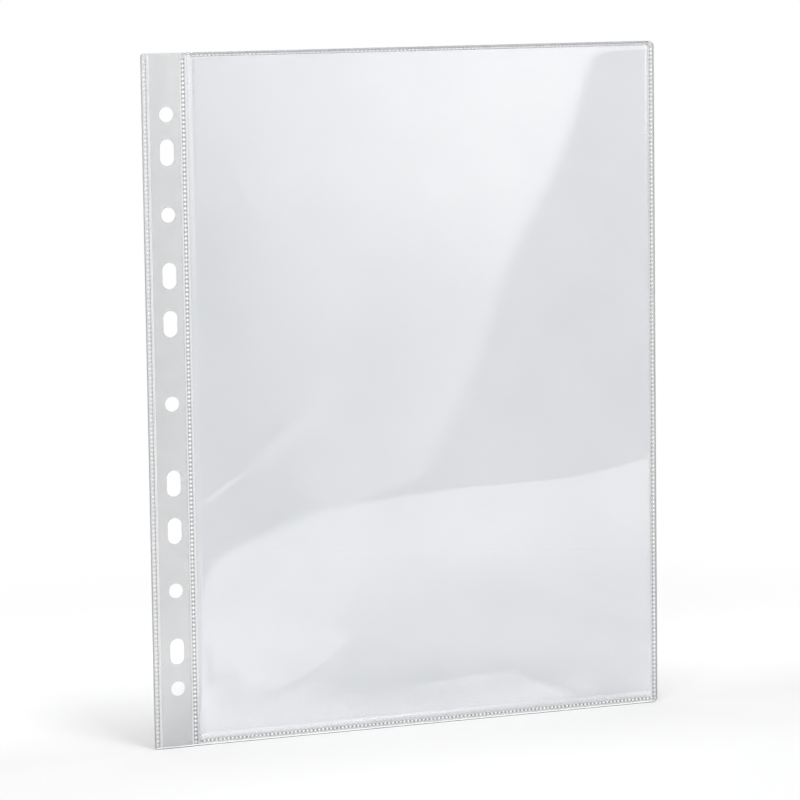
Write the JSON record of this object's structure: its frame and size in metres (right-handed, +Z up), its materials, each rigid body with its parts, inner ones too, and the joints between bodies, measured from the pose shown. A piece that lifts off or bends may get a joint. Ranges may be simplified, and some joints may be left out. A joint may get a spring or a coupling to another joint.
{
  "type": "sheet protector",
  "caption": "Clear punched plastic pocket for one sheet of paper, open at the top, with welded sides and a reinforced margin of ring holes.",
  "frame": {"origin": "on the axis of the middle ring hole, halfway through the binding margin's thickness", "axes": "+X from the binding margin to the free side, +Y from the front film to the back film, +Z up to the open mouth"},
  "size_m": [0.245, 0.0012, 0.305],
  "materials": {
    "clear_film": "clear cast polypropylene film",
    "milky_tape": "milky polypropylene tape",
    "weld_seam": "pressed heat-welded film",
    "mouth_rim": "folded and pressed film edge"
  },
  "bodies": {
    "binding_margin": {"binding_tape": "milky_tape", "margin_front_film": "clear_film", "margin_back_film": "clear_film", "edge_weld": "weld_seam", "spine_weld": "weld_seam", "film_hinge": "clear_film"},
    "pocket": {"back_film": "clear_film", "side_weld": "weld_seam", "bottom_weld": "weld_seam", "back_mouth_rim": "mouth_rim"},
    "front_wall": {"front_film": "clear_film", "front_mouth_rim": "mouth_rim"}
  },
  "joints": [
    {"name": "page_turn", "type": "hinge", "parent": "binding_margin", "child": "pocket", "pos_m": [0.0094, 0, 0], "axis": [0, 0, 1], "range_deg": [-90, 90], "deforming": ["film_hinge"]},
    {"name": "mouth_open", "type": "hinge", "parent": "pocket", "child": "front_wall", "pos_m": [0.12, -0.00026, -0.1491], "axis": [1, 0, 0], "range_deg": [0, 7], "stiffness_Nm_per_rad": 0.05}
  ]
}
